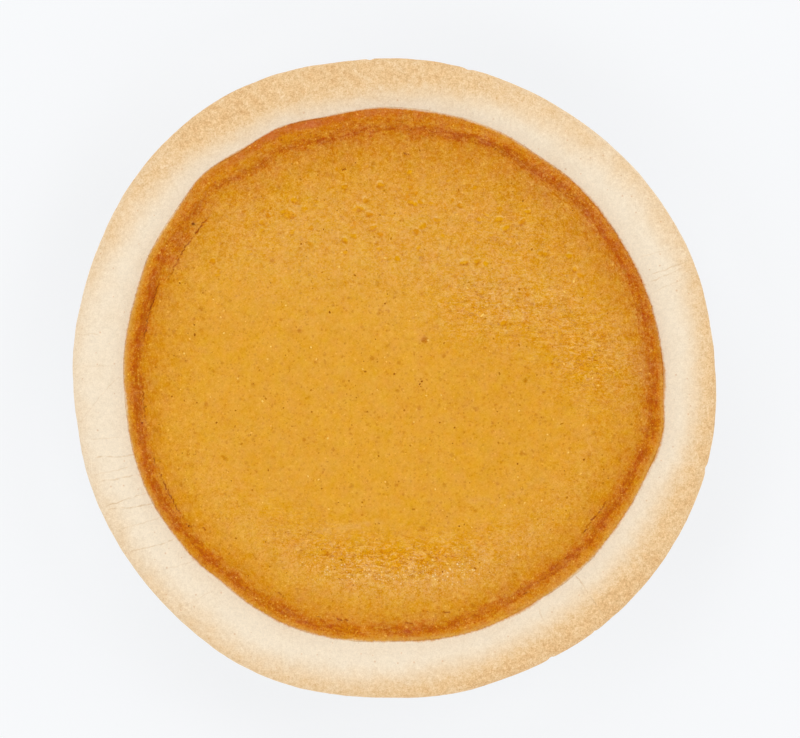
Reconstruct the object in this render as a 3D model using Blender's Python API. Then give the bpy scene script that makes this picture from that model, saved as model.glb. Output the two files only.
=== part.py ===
"""Pumpkin pie in its own foil tin: three solids turned about +Z, with outlines that swell and shrink.

Frame: metres, +Z up, origin at the centre of the tin's flat base, which rests on the table.
foil_tin is a thin pressed shell with a flat flange and a rolled edge.
crust is the pastry case: a floor and a sloping wall in the tin, and a broad smooth rim over the flange.
filling is the set pumpkin custard, solid to the pastry floor, with a puffed edge and a dished middle.
"""

import math

import bmesh
import bpy
from mathutils import Vector

MM = 0.001
SEGMENTS = 96  # every solid has its corners at the same angles, so that the gaps between them stay even
GAP = 0.3 * MM  # between solids that touch in the real pie
SHARP_EDGE = math.radians(50)  # flatter edges than this are shaded smooth

# Foil tin
TIN_BASE_RADIUS = 87.0 * MM
TIN_MOUTH_RADIUS = 104.5 * MM
TIN_HEIGHT = 29.0 * MM  # up to the top of the flange
TIN_BASE_BEND = 4.0 * MM
TIN_MOUTH_BEND = 2.0 * MM
TIN_FOIL = 0.3 * MM
ROLL_CENTRE_RADIUS = 113.0 * MM  # of the rolled edge
ROLL_RADIUS = 1.3 * MM
ROLL_CORNERS = (-150, -90, -30, 30, 75)  # degrees round the rolled edge's section, from outwards

# Pastry
RIM_RADIUS = 118.0 * MM  # mean radius of the pie's outer edge
RIM_THICKNESS = 6.9 * MM  # mean thickness at the rim's crest
FLOOR_THICKNESS = 3.6 * MM
FLOOR_RADIUS = 82.5 * MM  # where the pastry's inner wall meets its floor
FLOOR_BEND = 5.0 * MM

# Filling
FILLING_RADIUS = 98.3 * MM  # mean radius of the filling's edge
EDGE_DROP = 3.3 * MM  # from the mean crest of the rim down to the filling's edge
PUFF = 0.5 * MM  # rise of the custard just inside its edge
DISH_DROP = 2.3 * MM  # from the filling's edge down to its middle

# Swells of the two outlines: (degrees anticlockwise from +X, half width in degrees, swell in mm)
RIM_SWELLS = (
    (5, 12, -0.9),
    (60, 34, -2.0),
    (100, 6, -0.5),
    (123, 17, 2.4),
    (142, 14, 1.4),
    (188, 8, -0.7),
    (243, 14, 1.2),
    (268, 10, -0.9),
    (292, 12, -0.8),
    (335, 26, 1.0),
)
FILLING_SWELLS = (
    (35, 24, -1.7),
    (58, 7, -0.9),
    (94, 9, 0.7),
    (116, 7, 2.5),
    (133, 8, 3.6),
    (150, 11, 2.2),
    (172, 10, 0.8),
    (203, 15, 1.1),
    (230, 6, -0.8),
    (272, 13, -2.2),
    (300, 14, -1.8),
    (326, 8, -0.8),
    (348, 6, 1.8),
)
# Slow waves of the rim's thickness: (waves round the pie, phase in degrees, share of the thickness)
RIM_WAVES = ((2, 40, 0.035), (5, 10, 0.025), (9, 75, 0.015))

# The rim's outer edge from its underside up: (mm inwards from the outline, share of the rim's thickness)
RIM_EDGE = ((2.2, 0.0), (0.7, 0.12), (0.0, 0.38), (0.35, 0.62), (1.3, 0.80))
# The rim's top, from its outer edge in: (share of the way to the filling, share of the rim's thickness)
RIM_TOP = ((0.16, 0.91), (0.36, 1.0), (0.58, 0.985), (0.78, 0.87), (0.91, 0.70))

CRUST_UNDERSIDE = TIN_HEIGHT + GAP
FLOOR_TOP = TIN_FOIL + GAP + FLOOR_THICKNESS
FILLING_EDGE = CRUST_UNDERSIDE + RIM_THICKNESS - EDGE_DROP  # height of the filling's edge, level all round


def mix(a, b, share):
    return a + (b - a) * share


def swollen(radius, swells, angle):
    """The radius at this angle in radians, with the smooth swells of an outline added."""
    total = radius
    for centre, half_width, swell in swells:
        away = (math.degrees(angle) - centre + 180.0) % 360.0 - 180.0
        total += swell * MM * math.exp(-((away / half_width) ** 2))
    return total


def rim_thickness(angle):
    waves = sum(height * math.sin(count * angle + math.radians(phase)) for count, phase, height in RIM_WAVES)
    return RIM_THICKNESS * (1.0 + waves)


def rounded(points, bends, steps=2):
    """A polyline with the corner at each key of bends replaced by an arc of that radius."""
    made = []
    for i, corner in enumerate(points):
        if i not in bends:
            made.append(corner)
            continue
        before = (points[i - 1] - corner).normalized()
        after = (points[i + 1] - corner).normalized()
        half_angle = before.angle(after) / 2
        centre = corner + (before + after).normalized() * bends[i] / math.sin(half_angle)
        start = (corner + before * bends[i] / math.tan(half_angle) - centre).normalized()
        end = (corner + after * bends[i] / math.tan(half_angle) - centre).normalized()
        made += [centre + start.slerp(end, step / steps) * bends[i] for step in range(steps + 1)]
    return made


def shifted(points, distance):
    """A polyline moved sideways by distance, to its left as it runs on."""
    edges = [(after - before).normalized() for before, after in zip(points, points[1:])]
    made = []
    for i, point in enumerate(points):
        following = edges[min(i, len(edges) - 1)]
        along = (edges[max(i - 1, 0)] + following).normalized()
        made.append(point + Vector((-along.y, along.x)) * distance / along.dot(following))
    return made


def tin_skin():
    """The tin's outer skin as (radius, height), from halfway out along its base to its rolled edge."""
    flange_underside = TIN_HEIGHT - TIN_FOIL
    corners = [
        Vector((TIN_BASE_RADIUS / 2, 0.0)),
        Vector((TIN_BASE_RADIUS, 0.0)),
        Vector((TIN_MOUTH_RADIUS, flange_underside)),
        Vector((ROLL_CENTRE_RADIUS - ROLL_RADIUS, flange_underside)),
    ]
    return rounded(corners, {1: TIN_BASE_BEND, 2: TIN_MOUTH_BEND})


def tin_section(_angle):
    """Up the outer skin, round the rolled edge, and back down the inner skin."""
    skin = tin_skin()
    roll_centre = Vector((ROLL_CENTRE_RADIUS, TIN_HEIGHT - ROLL_RADIUS))
    turns = [math.radians(degrees) for degrees in ROLL_CORNERS]
    roll = [roll_centre + ROLL_RADIUS * Vector((math.cos(turn), math.sin(turn))) for turn in turns]
    return skin + roll + shifted(skin, TIN_FOIL)[::-1]


def wall_section(angle, clearance):
    """Down the pastry's inner wall from the filling's edge to the floor, drawn in by a clearance."""
    edge = swollen(FILLING_RADIUS, FILLING_SWELLS, angle) - clearance
    foot = FLOOR_RADIUS - clearance
    floor = FLOOR_TOP + clearance
    bend_share = 1.0 - FLOOR_BEND / (FILLING_EDGE - floor)
    points = [(mix(edge, foot, share), mix(FILLING_EDGE, floor, share)) for share in (0.0, 0.5, bend_share)]
    points.append((foot - 0.3 * FLOOR_BEND, floor + 0.3 * FLOOR_BEND))
    points.append((foot - FLOOR_BEND, floor))
    return points


def crust_section(angle):
    """The skin that lies in the tin, then the rim's outer edge and top, and the inner wall."""
    rim = swollen(RIM_RADIUS, RIM_SWELLS, angle)
    edge = swollen(FILLING_RADIUS, FILLING_SWELLS, angle)
    thickness = rim_thickness(angle)
    points = shifted(tin_skin(), TIN_FOIL + GAP)[:-1]
    points += [(rim - inset * MM, CRUST_UNDERSIDE + share * thickness) for inset, share in RIM_EDGE]
    points += [(mix(rim, edge, across), CRUST_UNDERSIDE + share * thickness) for across, share in RIM_TOP]
    return points + wall_section(angle, 0.0)


def filling_section(angle):
    """The floor and wall from the bottom up, then the puffed edge and the dished middle."""
    edge = swollen(FILLING_RADIUS, FILLING_SWELLS, angle)
    middle = FILLING_EDGE - DISH_DROP
    shoulder = mix(FILLING_EDGE, middle, 0.65)
    return wall_section(angle, GAP)[::-1] + [
        (edge - 2.0 * MM, FILLING_EDGE + 0.8 * PUFF),
        (edge - 4.5 * MM, FILLING_EDGE + PUFF),
        (edge - 7.5 * MM, mix(FILLING_EDGE + PUFF, shoulder, 0.5)),
        (edge - 11.0 * MM, shoulder),
        (0.55 * FILLING_RADIUS, mix(shoulder, middle, 0.7)),
        (0.25 * FILLING_RADIUS, middle),
    ]


def turned_solid(name, section, material):
    """One closed object: section(angle) lists the (radius, height) points that its rings pass through."""
    shape = bmesh.new()
    spokes = []
    for step in range(SEGMENTS):
        angle = 2 * math.pi * step / SEGMENTS
        across, along = math.cos(angle), math.sin(angle)
        spokes.append([shape.verts.new((r * across, r * along, height)) for r, height in section(angle)])
    for spoke, following in zip(spokes, spokes[1:] + spokes[:1]):
        for i in range(len(spoke) - 1):
            shape.faces.new((spoke[i], following[i], following[i + 1], spoke[i + 1]))
    bmesh.ops.holes_fill(shape, edges=shape.edges)
    bmesh.ops.recalc_face_normals(shape, faces=shape.faces)
    mesh = bpy.data.meshes.new(name)
    shape.to_mesh(mesh)
    shape.free()
    mesh.shade_smooth()
    mesh.set_sharp_from_angle(angle=SHARP_EDGE)
    mesh.materials.append(material)
    bpy.context.scene.collection.objects.link(bpy.data.objects.new(name, mesh))


def finish(name, colour, roughness, metallic=0.0):
    """A Principled material of one linear colour."""
    material = bpy.data.materials.new(name)
    material.use_nodes = True
    shader = material.node_tree.nodes["Principled BSDF"]
    shader.inputs["Base Color"].default_value = (*colour, 1.0)
    shader.inputs["Roughness"].default_value = roughness
    shader.inputs["Metallic"].default_value = metallic
    return material


def main():
    for old in list(bpy.data.objects):
        bpy.data.objects.remove(old)
    turned_solid("foil_tin", tin_section, finish("foil", (0.80, 0.81, 0.82), 0.32, metallic=1.0))
    turned_solid("crust", crust_section, finish("baked_pastry", (0.84, 0.67, 0.45), 0.75))
    turned_solid("filling", filling_section, finish("pumpkin_custard", (0.76, 0.37, 0.03), 0.45))


main()
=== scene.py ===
"""The look of the pumpkin pie: custard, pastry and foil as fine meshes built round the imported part.

Everything is in metres with +Z up. Angles are in degrees anticlockwise from +X, and +Y is up in the picture.
An inset is a distance inwards from the edge of the custard; across is the share of the way over the pastry
rim, from 0 at its outer edge to 1 at the custard.
"""

import math

import bpy
import numpy as np
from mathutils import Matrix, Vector, noise
from mathutils.bvhtree import BVHTree


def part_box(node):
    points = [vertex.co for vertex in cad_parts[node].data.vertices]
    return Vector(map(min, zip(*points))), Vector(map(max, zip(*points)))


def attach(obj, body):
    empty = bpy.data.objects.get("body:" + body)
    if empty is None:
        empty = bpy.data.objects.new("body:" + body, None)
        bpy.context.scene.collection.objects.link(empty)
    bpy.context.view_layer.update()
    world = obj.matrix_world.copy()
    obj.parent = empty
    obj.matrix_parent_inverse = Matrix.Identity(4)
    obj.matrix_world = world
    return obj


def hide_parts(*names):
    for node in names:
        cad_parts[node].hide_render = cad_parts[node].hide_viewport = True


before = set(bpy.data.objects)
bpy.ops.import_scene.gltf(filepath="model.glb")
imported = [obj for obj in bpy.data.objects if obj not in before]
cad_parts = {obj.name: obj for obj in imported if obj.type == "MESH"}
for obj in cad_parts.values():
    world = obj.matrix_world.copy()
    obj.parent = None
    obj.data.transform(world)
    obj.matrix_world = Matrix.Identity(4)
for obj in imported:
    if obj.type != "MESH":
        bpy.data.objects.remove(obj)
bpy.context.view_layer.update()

MM = 0.001
CAD_ANGLES = 96  # the solids have their corners at this many even angles
PALING = (0.0, 0.31, 0.17)  # red, green and blue that a light grain of custard gains, as it is paler too
HUE_SHIFT = (0.019, 0.012, 0.0135)  # how far red, green and blue stray in the custard's hue noise

# Custard mesh
CUSTARD_EDGE_ZONE = 14 * MM  # the finer outer part of the top
CUSTARD_EDGE_STEP = 0.36 * MM
CUSTARD_EDGE_POINTS = 1008
CUSTARD_MIDDLE_RINGS = 126
CUSTARD_REACH = 0.6 * MM  # how far the custard goes into the pastry, so that no gap shows
CUSTARD_FOOT_RADIUS = 82.2 * MM
CUSTARD_FOOT_RISE = 5 * MM
FAR_INSET = 80 * MM  # given to the underside, so that no look of the edge reaches it

# Pastry mesh
RIM_POINTS = 1200
RIM_RINGS = 74
RIM_WIDTH = 19.7 * MM
CUSTARD_GAP = 0.3 * MM  # between the edges of the pastry and the custard
RIM_UNDERSIDE = 28.6 * MM  # above the pastry's own underside
PASTRY_WALL_FOOT = 82.5 * MM
PASTRY_BASE_RADIUS = 83.0 * MM
PASTRY_BASE_BEND = (4 * MM, 3.5 * MM)  # outwards and up
PASTRY_WALL_TOP = 103.6 * MM
PASTRY_WALL_RISE = 26.5 * MM
PASTRY_FLOOR_BEND = 5 * MM
PASTRY_INNER_HEIGHT = 28 * MM  # of the inner wall just under the custard's edge

# Foil tin
FOIL = 0.15 * MM
FLUTES = 88
FLUTE_DEPTH = 0.9 * MM
FLUTE_SHARPNESS = 0.98  # 1 for ridges with a sharp crest
TIN_POINTS = 12 * FLUTES  # round each ring
TIN_STEP = 0.8 * MM  # from ring to ring
ROLL_CENTRE_RADIUS = 113.0 * MM
ROLL_RADIUS = 1.25 * MM
# The outer skin as (radius, height) in mm, from the base with its stamped ring, up the wall, to the flange
TIN_SKIN = (
    *((60, 0), (70, 0), (71, 0.5), (74, 0.5), (75, 0), (85, 0), (86.6, 0.4), (87.7, 1.5), (88.5, 3.2)),
    *((103.2, 26.3), (104.0, 27.7), (105.1, 28.5), (106.8, 28.7), (111.2, 28.7)),
)

# Flecks: (height as a share of the thickness, width as a share of the size), from the foot up
FLECK_PROFILE = ((-0.5, 0.95), (0.35, 1.0), (0.8, 0.6))
FLECK_SIDES = 12
SPICE_FLECKS = 240
SPICE_REACH = 92 * MM  # from the middle
SPICE_THICKNESS = 0.12  # of a fleck's width
PALE_GRAINS = 80
PALE_GRAIN_REACH = 80 * MM
PALE_GRAIN_THICKNESS = 0.16

# Spots of the materials: (size of the cells and radius of the spots, share of the cells that have one)
RIM_SPECKLES = (0.9 * MM, 0.26 * MM, 0.6)
RIM_FLECKS = (5 * MM, 0.3 * MM, 0.4)
CRUMBS = (1.2 * MM, 0.3 * MM, 0.5)
DUST = (1.0 * MM, 0.24 * MM, 0.4)
GLINT_SPOTS = (0.9 * MM, 0.26 * MM, 0.3)
DASHES = (1.5 * MM, 0.2 * MM, 0.35)
# The same in mm, and their strength
SOFT_SPECKS = (
    (9.0, 0.8, 0.4, 0.45),
    (3.2, 0.52, 0.5, 0.34),
    (2.3, 0.38, 0.5, 0.34),
    (1.5, 0.26, 0.5, 0.34),
)
PALE_SPECKS = ((3.6, 0.3, 0.4, 0.6), (1.7, 0.22, 0.4, 0.36))
# Lumps of the materials: fine, middle and coarse grain, and blotches
PASTRY_LUMPS = (0.5 * MM, 1.3 * MM, 4 * MM, 13 * MM)
CUSTARD_LUMPS = (0.45 * MM, 1.3 * MM, 3.6 * MM, 8 * MM)
# Lumps of the wrinkled skin: the finest, the wrinkles and the pools
SKIN_LUMPS = (0.5 * MM, 1.5 * MM, 2.4 * MM)
HUE_LUMPS = 4.5 * MM

# Colours as they look, 0 to 255
CREAM = (246, 229, 203)
GOLD = (238, 200, 148)
DEEP_GOLD = (226, 178, 120)
SPECKLE_TAN = (214, 158, 98)
CRACK_TAN = (220, 184, 138)
PASTRY_EDGE = (238, 212, 176)
CUSTARD_EDGE = (216, 152, 72)
CUSTARD = (228, 163, 51)
CUSTARD_WARM = (216, 144, 36)
CUSTARD_BROWNED = (206, 121, 20)
CUSTARD_BURNT = (186, 94, 8)
CUSTARD_FRINGE = (217, 156, 66)
CUSTARD_RED = (200, 108, 34)
CUSTARD_WET = (224, 152, 3)
# painted shade beside the skin's wrinkles
CUSTARD_FOLD_SHADE = (188, 110, 2)
# painted highlight beside the skin's wrinkles
CUSTARD_RIDGE_HIGHLIGHT = (240, 188, 112)
GOLDEN_FOOT = (216, 138, 0)
CRACK_ORANGE = (192, 106, 4)
CRACK_BROWN = (146, 68, 0)
PIT_BROWN = (110, 40, 0)
CRUMB_BROWN = (172, 84, 8)
CRUMB_MAUVE = (206, 132, 70)
SHEEN = (250, 238, 220)
GLINT = (250, 226, 170)
SPICE = (198, 130, 18)
SPICE_DARK = (162, 92, 0)
SPICE_STAIN = (188, 113, 14)
# painted shade at a blister's foot
BLISTER_SHADE = (196, 114, 8)
BLISTER_ORANGE = (219, 141, 4)
BLISTER_GOLD = (230, 161, 4)
# painted highlight on a blister's top
BLISTER_HIGHLIGHT = (246, 206, 124)
STAIN_HALO = (214, 146, 78)
PALE_GRAIN = (250, 188, 80)
PALE_GRAIN_TIP = (254, 206, 102)
FOIL_GREY = (232, 233, 235)

# Round the pie: (middle in degrees, half width in degrees, strength)
GOLD_STRENGTH = (
    *((0, 25, 0.2), (45, 20, -0.1), (90, 25, 0.25)),
    *((126, 18, 0.3), (187, 28, -0.35), (305, 38, 0.4)),
)
GOLD_REACH = (
    *((98, 30, 0.48), (130, 16, 0.2), (312, 38, 0.24), (180, 25, -0.2)),
    *((60, 14, 0.12), (150, 12, 0.12), (335, 16, 0.1)),
)
DARK_BAND_INSET = ((100, 36, 4.3), (125, 12, 1.3), (165, 25, 0.9), (305, 16, 2.2), (335, 18, 1.1))
EDGE_BROWNING = ((105, 27, 0.2), (24, 30, 0.3))
EDGE_RED = ((109, 24, 0.9),)
SHADE_LENGTH = ((85, 45, 7.0), (50, 40, 2.5), (345, 25, 1.0), (208, 20, -3.0), (172, 14, 2.2))
FOOT_SHADE = ((149, 8, 0.28),)
BAND_STRENGTH = ((165, 28, 0.1), (60, 15, 0.06), (112, 25, -0.16), (290, 28, -0.2))
BAND_WIDTH = ((112, 28, -0.45), (75, 16, -0.2))
FOOT_GOLD = ((205, 35, 0.35),)  # golden foot of the raised edge
EDGE_GOLD = ((120, 22, 0.5),)  # golden top of the raised edge
SOFT_EDGE = ((108, 26, -0.65),)  # how softly and raggedly the custard meets the pastry
# How far the custard runs out over the pastry, in mm
EDGE_SHIFT = (
    (0, 5, 0.8),
    (22, 7, 0.3),
    (41, 9, 0.42),
    (72, 8, -0.35),
    (86, 6, -0.35),
    (109, 4, 0.6),
    (125, 5, 0.75),
    (148, 5, -0.35),
    (186, 3, -0.5),
    (224, 4, 0.35),
    (245, 3, 0.35),
    (261, 2, -0.35),
    (277, 4, 0.4),
    (290, 3, 0.3),
    (298.5, 4, 0.8),
    (314, 4, -0.4),
    (328, 6, 0.35),
    (343, 5, 0.65),
)
THREADS = ((90, 60, 0.4), (20, 30, 0.3), (180, 40, 0.3))
FRINGE = ((345, 30, 0.6), (168, 36, 0.9), (285, 45, 0.8), (62, 14, 0.5), (118, 16, -0.3))
EDGE_GRAIN = ((60, 35, 0.2), (115, 45, 0.4), (228, 20, 0.25), (300, 40, 0.25))
DIMNESS = ((15, 55, 0.45),)

# Patches of the custard's skin: (x and y of the middle, half widths along x and y, all in mm, strength)
WET_PATCHES = (  # wrinkled and golden
    (72, 7, 15, 17, 1.1),
    (50, 26, 22, 15, 0.9),
    (26, 25, 16, 12, 0.7),
    (46, 50, 20, 14, 0.5),
    (4, 40, 16, 9, 0.35),
    (6, 60, 50, 14, 0.45),
    (-48, 54, 24, 14, 0.4),
)
WET_LIMIT = 1.5  # of the strength, where patches and arcs meet
PAINTED_SHEEN_PATCHES = (  # a pale haze of painted sheen
    (42, 34, 30, 18, 0.6),
    (16, 38, 30, 14, 0.4),
    (64, 22, 22, 22, 0.25),
    (86, 2, 9, 18, 0.55),
    (-40, 44, 36, 18, 0.5),
    (10, 62, 60, 20, 0.6),
)
DEEP_PATCHES = ((34, -12, 34, 22, 0.05),)  # a little deeper in colour
# Glints are painted highlights, placed as the patches are
GLINTS = ((22, -69, 13, 5, 1.0), (-22, -68, 14, 5, 0.8), (2, -73, 22, 4, 0.7), (40, 28, 20, 9, 0.25))
# Arcs of the skin round the middle: (degrees, half width in degrees, radius and half width in mm, strength)
WET_ARCS = ((268, 34, 68, 9, 1.5),)
# an arc of painted sheen
PAINTED_SHEEN_ARCS = ((276, 52, 76, 7, 1.0),)
# Thin streaks of the skin, of painted sheen and then of deeper browning: (x and y of one end, of the other
# end, half width, all in mm, strength)
SHEEN_STREAKS = ((-34, -57.5, -2, -52, 1.3, 1.0), (24, -46.5, 44, -43.5, 1.2, 0.6), (40, -44, 57, -36, 1.2, 0.6))
CREASES = ((-43, 32, -4, 35, 0.6, 0.16), (17, 28, 48, 14, 0.7, 0.08))
# Marks, as the patches are
STAINS = (
    *((11, 14, 1.7, 1.7, 1.0), (84, 39, 1.2, 1.2, 1.0)),
    *((-73, 56, 0.9, 0.9, 1.0), (31, 57, 1.3, 0.8, 0.9)),
)
PITS = ((-73.6, 56.3, 0.8, 0.7, 1.0), (-92.1, -16.4, 0.6, 0.8, 0.8), (-75.1, -54.0, 0.6, 0.6, 0.9))
# Groups of blisters: (x and y of the middle, spread along x and y, all in mm, count)
BLISTER_GROUPS = ((-26, 60, 18, 8, 30), (8, 65, 15, 9, 34), (48, 48, 15, 11, 30), (-58, 41, 9, 5, 6))
BLISTER_REACH = 82  # mm from the middle
BLISTER_HALF_WIDTHS = (0.65, 1.05)  # mm
BLISTER_STRETCHES = (1.0, 1.6)

# Hairline cracks over the rim: (degrees and across of one end, of the other end, strength)
RIM_CRACKS = (
    (172.3, 0.0, 171.6, 0.45, 0.5),
    (188.0, 0.1, 180.0, 0.9, 0.45),
    (178.0, 0.1, 177.6, 0.7, 0.35),
    (195.0, 0.35, 196.4, 0.95, 0.8),
    (198.0, 0.15, 198.3, 0.8, 0.5),
    (199.5, 0.3, 200.6, 0.95, 0.7),
    (204.0, 0.2, 204.7, 0.95, 1.0),
    (204.9, 0.25, 207.4, 0.95, 0.9),
    (213.4, 0.2, 216.1, 0.9, 0.75),
    (218.9, 0.3, 222.1, 0.95, 0.4),
    (191.5, 0.3, 192.4, 0.9, 0.35),
    (209.0, 0.3, 210.6, 0.95, 0.5),
    (227.0, 0.2, 229.5, 0.8, 0.35),
    (19.0, 0.3, 18.4, 0.85, 0.4),
    (21.0, 0.3, 20.7, 0.8, 0.6),
    (21.7, 0.2, 21.9, 0.75, 0.7),
    (25.0, 0.3, 26.2, 0.8, 0.35),
    (300.9, 0.2, 301.9, 0.85, 0.45),
    (311.0, 0.05, 312.5, 0.95, 1.0),
)
CRACK_LAYERS = 2  # neighbours go to different layers, as a layer holds the distance to its nearest crack

# Nicks in the rim's outer edge: (degrees, half width in degrees, depth in mm)
RIM_NICKS = ((94.4, 0.5, 0.5), (76.6, 0.6, 0.45), (299.2, 0.5, 0.5), (308.3, 0.35, 0.35), (343.9, 0.6, 0.45))

# Cracks along the foot of the custard's raised edge: (degrees and inset in mm of each end, strength)
FOOT_CRACKS = (
    (139.5, 10.6, 156.0, 9.3, 0.9),
    (158.0, 6.6, 171.0, 6.2, 1.0),
    (182.0, 6.3, 190.0, 6.3, 0.7),
    (198.0, 6.4, 213.0, 6.4, 0.9),
    (214.8, 6.5, 216.4, 6.5, 1.0),
    (217.8, 9.4, 219.0, 9.4, 0.8),
    (241.2, 8.6, 242.6, 8.6, 0.8),
    (251.6, 6.3, 252.9, 6.3, 0.7),
    (256.4, 7.1, 259.2, 7.0, 0.9),
    (272.6, 6.3, 274.4, 6.3, 0.7),
    (276.8, 10.2, 278.4, 9.5, 0.6),
    (281.6, 8.8, 283.4, 8.8, 0.6),
    (300.2, 4.2, 302.2, 4.2, 0.7),
    (320.0, 8.2, 329.5, 7.6, 1.0),
    (86.2, 16.2, 87.9, 16.0, 1.0),
    (103.0, 19.6, 104.4, 19.6, 1.0),
)
STROKE_LENGTH = 3.2 * MM  # a foot crack is a chain of short slanted strokes
STROKE_LEAN = 0.5 * MM

# Stage, all in metres, degrees and watts
FLOOR_HALF = 2.0
FLOOR_DROP = 0.05 * MM  # below the tin, so that the two don't meet
LAMPS = (("left", 200, 4.1), ("lower", 290, 4.1), ("right", 20, 4.6), ("upper", 110, 4.7))  # azimuth, power
LAMP_TILT = 55  # from straight above
LAMP_SIZE = 0.8
LAMP_DISTANCE = 1.2
SKY_LIGHT = 0.38
CAMERA_PLACE = (2.0 * MM, 3.3 * MM, 845 * MM)
CAMERA_LENS = 100  # mm, on a sensor 36 mm wide


def lobes(angles, base, rows):
    """A value round the pie: a base with smooth lobes of (middle, half width, strength) added."""
    total = np.full(np.shape(angles), float(base))
    for middle, half_width, strength in rows:
        away = (angles - middle + 180.0) % 360.0 - 180.0
        total += strength * np.exp(-((away / half_width) ** 2))
    return total


def rise(values, low, high):
    """A smooth step from 0 at low to 1 at high."""
    share = np.clip((values - low) / (high - low), 0.0, 1.0)
    return share * share * (3.0 - 2.0 * share)


def bell(values, middle, half_width):
    return np.exp(-(((values - middle) / half_width) ** 2))


def lumps(points, size, octaves=1, seed=0):
    """Smooth noise from about -1 to 1 at each point, with lumps of this size."""
    shift = Vector((7.3, 3.1, 5.7)) * seed
    spots = [Vector(spot) + shift for spot in (points / size).tolist()]
    if octaves == 1:
        return np.array([noise.noise(spot) for spot in spots])
    return np.array([noise.fractal(spot, 1.0, 2.0, octaves) for spot in spots])


# ---------------------------------------------------------------- rings and skins


def cad_sections(node, nearest, lowest, centre):
    """The solid's section at each of its angles, as (radius, height) points in turn round a centre.

    Points nearer the axis or lower than the limits are left out.
    """
    points = np.array([vertex.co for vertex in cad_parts[node].data.vertices])
    outer = np.hypot(points[:, 0], points[:, 1]) > nearest
    points = np.unique(points[outer & (points[:, 2] > lowest)].round(6), axis=0)
    radius = np.hypot(points[:, 0], points[:, 1])
    spoke = np.arctan2(points[:, 1], points[:, 0]) * CAD_ANGLES / (2 * math.pi)
    spoke = np.round(spoke).astype(int) % CAD_ANGLES
    turn = np.arctan2(points[:, 2] - centre[1], radius - centre[0])
    order = np.lexsort((turn, spoke))
    return np.column_stack((radius, points[:, 2]))[order].reshape(CAD_ANGLES, -1, 2)


def line_length(points):
    return np.linalg.norm(np.diff(points, axis=0), axis=1).sum()


def curve_at(points, stations):
    """Points of a smooth curve through the given ones, at distances along it."""
    steps = np.linalg.norm(np.diff(points, axis=0), axis=1)
    knots = np.concatenate(([0.0], np.cumsum(steps)))
    slopes = np.gradient(points, knots, axis=0)
    i = np.clip(np.searchsorted(knots, stations, side="right") - 1, 0, len(steps) - 1)
    width = steps[i][:, None]
    t = ((stations - knots[i]) / steps[i])[:, None]
    return (
        points[i] * (1 + 2 * t) * (1 - t) ** 2
        + points[i + 1] * t**2 * (3 - 2 * t)
        + width * t * (1 - t) * (slopes[i] * (1 - t) - slopes[i + 1] * t)
    )


def round_ring(values, count):
    """Values at the CAD's angles, resampled smoothly to another count of even angles."""
    waves = np.fft.rfft(values, axis=0)[: CAD_ANGLES // 2]
    return np.fft.irfft(waves, count, axis=0) * count / CAD_ANGLES


def flat_ring(radius, height, count, extra=0.0):
    return np.tile((radius, height, extra), (count, 1))


class Skin:
    """A closed skin over rings of (radius, height, extra) points, the first and last ring a single point."""

    def __init__(self, rings):
        self.counts = [len(ring) for ring in rings]
        self.turn = np.concatenate([np.arange(count) * 2 * math.pi / count for count in self.counts])
        self.angle = np.degrees(self.turn)
        self.radius, self.height, self.extra = np.concatenate(rings).T
        self.points = np.column_stack(
            (self.radius * np.cos(self.turn), self.radius * np.sin(self.turn), self.height)
        )

    def triangles(self):
        """Each ring joined to the next by triangles, whatever their counts."""
        made = []
        starts = np.concatenate(([0], np.cumsum(self.counts)))
        for i, (a, b) in enumerate(zip(self.counts, self.counts[1:])):
            lower, upper = np.arange(a), np.arange(b)
            if a > 1:
                apex = -((a - (2 * lower + 1) * b) // (2 * a)) % b
                made.append(starts[i] + np.column_stack((lower, (lower + 1) % a, a + apex)))
            if b > 1:
                apex = ((2 * upper + 1) * a + b) // (2 * b) % a
                made.append(starts[i] + np.column_stack((apex, a + (upper + 1) % b, a + upper)))
        return np.concatenate(made)

    def mesh(self, name):
        mesh = bpy.data.meshes.new(name)
        mesh.from_pydata(self.points.tolist(), [], self.triangles().tolist())
        mesh.shade_smooth()
        return mesh

    def raised(self, mesh, relief):
        """Moves the mesh's points along their normals by a relief in millimetres."""
        normals = np.empty(len(self.points) * 3, np.float32)
        mesh.vertices.foreach_get("normal", normals)
        self.points = self.points + normals.reshape(-1, 3) * relief[:, None] * MM
        mesh.vertices.foreach_set("co", self.points.astype(np.float32).ravel())
        mesh.update()


def with_fields(mesh, fields):
    """Stores each named field, one number for each point, for the materials to read."""
    for name, values in fields.items():
        attribute = mesh.attributes.new(name, "FLOAT", "POINT")
        attribute.data.foreach_set("value", np.asarray(values, np.float32))


def add_piece(name, mesh, material, slot, *nodes):
    """Makes the mesh a piece that rides on the pie, and that stands for the CAD nodes."""
    piece = bpy.data.objects.new(name, mesh)
    bpy.context.scene.collection.objects.link(piece)
    mesh.materials.append(material)
    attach(piece, "root")
    if nodes:
        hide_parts(*nodes)
    return piece


# ---------------------------------------------------------------- materials


def shown(colour):
    """A colour as it looks, 0 to 255, as a linear colour."""
    levels = [value / 255.0 for value in colour]
    linear = [level / 12.92 if level <= 0.04045 else ((level + 0.055) / 1.055) ** 2.4 for level in levels]
    return (*linear, 1.0)


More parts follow.
